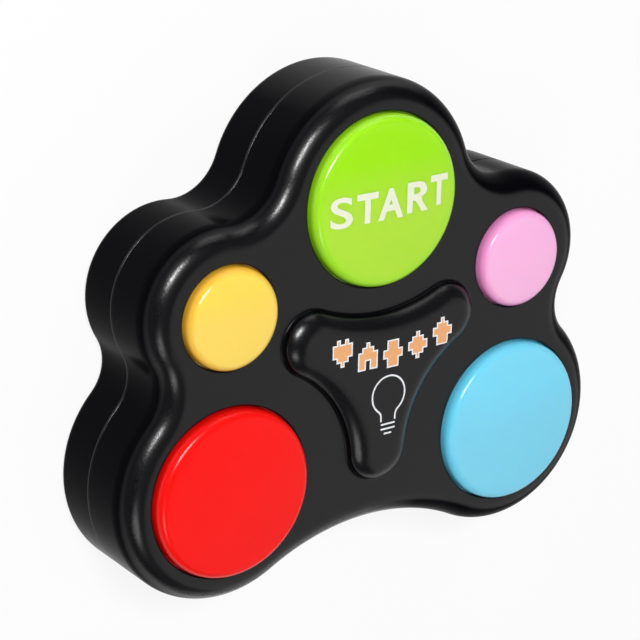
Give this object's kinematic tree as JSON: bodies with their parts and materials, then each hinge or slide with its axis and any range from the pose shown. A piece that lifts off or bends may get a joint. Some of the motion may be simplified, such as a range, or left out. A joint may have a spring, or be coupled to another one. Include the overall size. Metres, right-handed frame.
{
  "type": "electronic memory game",
  "caption": "Hand-held light and sound memory game: black five-lobed two-shell body with a round sprung colour key on each lobe and a battery bay behind.",
  "frame": {"origin": "under the middle of the outline, on the flat back that the toy lies on", "axes": "+X to the right of someone who reads the face, +Y towards the top key, +Z out of the keys"},
  "size_m": [0.1626, 0.1396, 0.039],
  "materials": {
    "shell": "moulded black, glossy",
    "green_key": "glossy, slightly translucent",
    "yellow_key": "glossy, slightly translucent",
    "pink_key": "glossy, slightly translucent",
    "red_key": "glossy, slightly translucent",
    "blue_key": "glossy, slightly translucent",
    "silicone": "soft matt silicone",
    "carbon_pill": "matt black",
    "lamp": "clear moulded nose",
    "resistor": "printed chip",
    "board": "green lacquered laminate",
    "resin": "black resin drop",
    "capacitor_can": "sleeved can",
    "speaker_steel": "plated sheet",
    "cone": "pressed film",
    "magnet": "plated",
    "cell": "film sleeve over a can",
    "contact": "nickel-plated spring sheet",
    "screw": "zinc plated",
    "red_lead": "smooth insulation",
    "black_lead": "smooth insulation"
  },
  "bodies": {
    "housing": {"front_shell": "shell", "rear_shell": "shell", "case_screws": "screw", "board_screws": "screw", "main_board": "board", "dome_green": "silicone", "lamp_green": "lamp", "resistor_green": "resistor", "dome_yellow": "silicone", "lamp_yellow": "lamp", "resistor_yellow": "resistor", "dome_pink": "silicone", "lamp_pink": "lamp", "resistor_pink": "resistor", "dome_red": "silicone", "lamp_red": "lamp", "resistor_red": "resistor", "dome_blue": "silicone", "lamp_blue": "lamp", "resistor_blue": "resistor", "chip": "resin", "capacitor": "capacitor_can", "speaker_frame": "speaker_steel", "speaker_cone": "cone", "speaker_magnet": "magnet", "contact_negative": "contact", "contact_link_right": "contact", "contact_link_left": "contact", "contact_positive": "contact", "battery_lead_black": "black_lead", "battery_lead_red": "red_lead", "speaker_lead_black": "black_lead", "speaker_lead_red": "red_lead"},
    "button_green": {"key_green": "green_key", "pill_green": "carbon_pill"},
    "button_yellow": {"key_yellow": "yellow_key", "pill_yellow": "carbon_pill"},
    "button_pink": {"key_pink": "pink_key", "pill_pink": "carbon_pill"},
    "button_red": {"key_red": "red_key", "pill_red": "carbon_pill"},
    "button_blue": {"key_blue": "blue_key", "pill_blue": "carbon_pill"},
    "battery_door": {"battery_door": "shell"},
    "door_screw_1": {"door_screw_1": "screw"},
    "door_screw_2": {"door_screw_2": "screw"},
    "cell_1": {"cell_1": "cell"},
    "cell_2": {"cell_2": "cell"},
    "cell_3": {"cell_3": "cell"}
  },
  "joints": [
    {"name": "press_green", "type": "slide", "parent": "housing", "child": "button_green", "axis": [0, 0, -1], "range_m": [0, 0.002], "stiffness_N_per_m": 500, "springref_m": -0.001, "deforming": ["dome_green"]},
    {"name": "press_yellow", "type": "slide", "parent": "housing", "child": "button_yellow", "axis": [0, 0, -1], "range_m": [0, 0.002], "stiffness_N_per_m": 350, "springref_m": -0.001, "deforming": ["dome_yellow"]},
    {"name": "press_pink", "type": "slide", "parent": "housing", "child": "button_pink", "axis": [0, 0, -1], "range_m": [0, 0.002], "stiffness_N_per_m": 350, "springref_m": -0.001, "deforming": ["dome_pink"]},
    {"name": "press_red", "type": "slide", "parent": "housing", "child": "button_red", "axis": [0, 0, -1], "range_m": [0, 0.002], "stiffness_N_per_m": 500, "springref_m": -0.001, "deforming": ["dome_red"]},
    {"name": "press_blue", "type": "slide", "parent": "housing", "child": "button_blue", "axis": [0, 0, -1], "range_m": [0, 0.002], "stiffness_N_per_m": 500, "springref_m": -0.001, "deforming": ["dome_blue"]},
    {"name": "battery_door_lift", "type": "slide", "parent": "housing", "child": "battery_door", "axis": [0, 0, -1], "range_m": [0, 0.04]},
    {"name": "door_screw_turn_1", "type": "hinge", "parent": "battery_door", "child": "door_screw_1", "pos_m": [-0.02975, -0.01915, 0.001], "axis": [0, 0, -1], "continuous": true},
    {"name": "door_screw_turn_2", "type": "hinge", "parent": "battery_door", "child": "door_screw_2", "pos_m": [0.02975, -0.01915, 0.001], "axis": [0, 0, -1], "continuous": true},
    {"name": "cell_lift_1", "type": "slide", "parent": "housing", "child": "cell_1", "axis": [0, 0, -1], "range_m": [0, 0.024]},
    {"name": "cell_lift_2", "type": "slide", "parent": "housing", "child": "cell_2", "axis": [0, 0, -1], "range_m": [0, 0.024]},
    {"name": "cell_lift_3", "type": "slide", "parent": "housing", "child": "cell_3", "axis": [0, 0, -1], "range_m": [0, 0.024]}
  ],
  "couplings": [
    {"joint": "cell_lift_1", "follows": "battery_door_lift", "ratio": 0.6},
    {"joint": "cell_lift_2", "follows": "battery_door_lift", "ratio": 0.6},
    {"joint": "cell_lift_3", "follows": "battery_door_lift", "ratio": 0.6}
  ]
}
